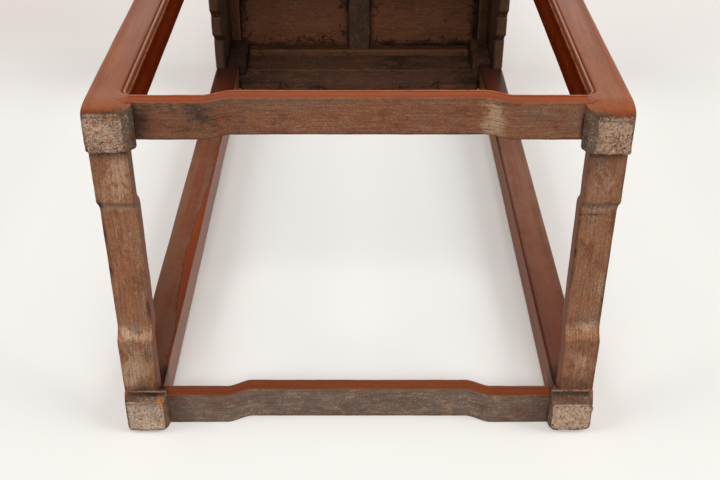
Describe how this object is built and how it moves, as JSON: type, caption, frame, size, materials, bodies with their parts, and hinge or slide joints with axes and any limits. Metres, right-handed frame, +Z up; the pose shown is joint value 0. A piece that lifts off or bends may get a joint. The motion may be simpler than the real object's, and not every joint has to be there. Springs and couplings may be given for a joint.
{
  "type": "incense stand",
  "caption": "Tall waisted wooden incense stand with square legs, inward hoof feet, humpback stretchers, stepped aprons and a framed panel top.",
  "frame": {"origin": "on the floor plane under the middle of the stand", "axes": "+Z up from the soles to the top, X along the longer side of the top, -Y towards the front"},
  "size_m": [0.432, 0.341, 0.858],
  "materials": {
    "leg_wood": "worn wax polish, soles bare",
    "stretcher_wood": "worn wax polish, underside bare",
    "apron_wood": "worn wax polish, inner side bare",
    "waist_wood": "worn wax polish, inner side bare",
    "rail_wood": "worn wax polish, underside bare",
    "panel_wood": "waxed above, old dark lacquer below",
    "brace_wood": "old dark lacquer"
  },
  "bodies": {
    "root": {"apron_back": "apron_wood", "apron_front": "apron_wood", "apron_left": "apron_wood", "apron_right": "apron_wood", "leg_back_left": "leg_wood", "leg_back_right": "leg_wood", "leg_front_left": "leg_wood", "leg_front_right": "leg_wood", "panel_brace": "brace_wood", "rail_back": "rail_wood", "rail_front": "rail_wood", "rail_left": "rail_wood", "rail_right": "rail_wood", "stretcher_back": "stretcher_wood", "stretcher_front": "stretcher_wood", "stretcher_left": "stretcher_wood", "stretcher_right": "stretcher_wood", "top_panel": "panel_wood", "waist_back": "waist_wood", "waist_front": "waist_wood", "waist_left": "waist_wood", "waist_right": "waist_wood"}
  },
  "joints": []
}
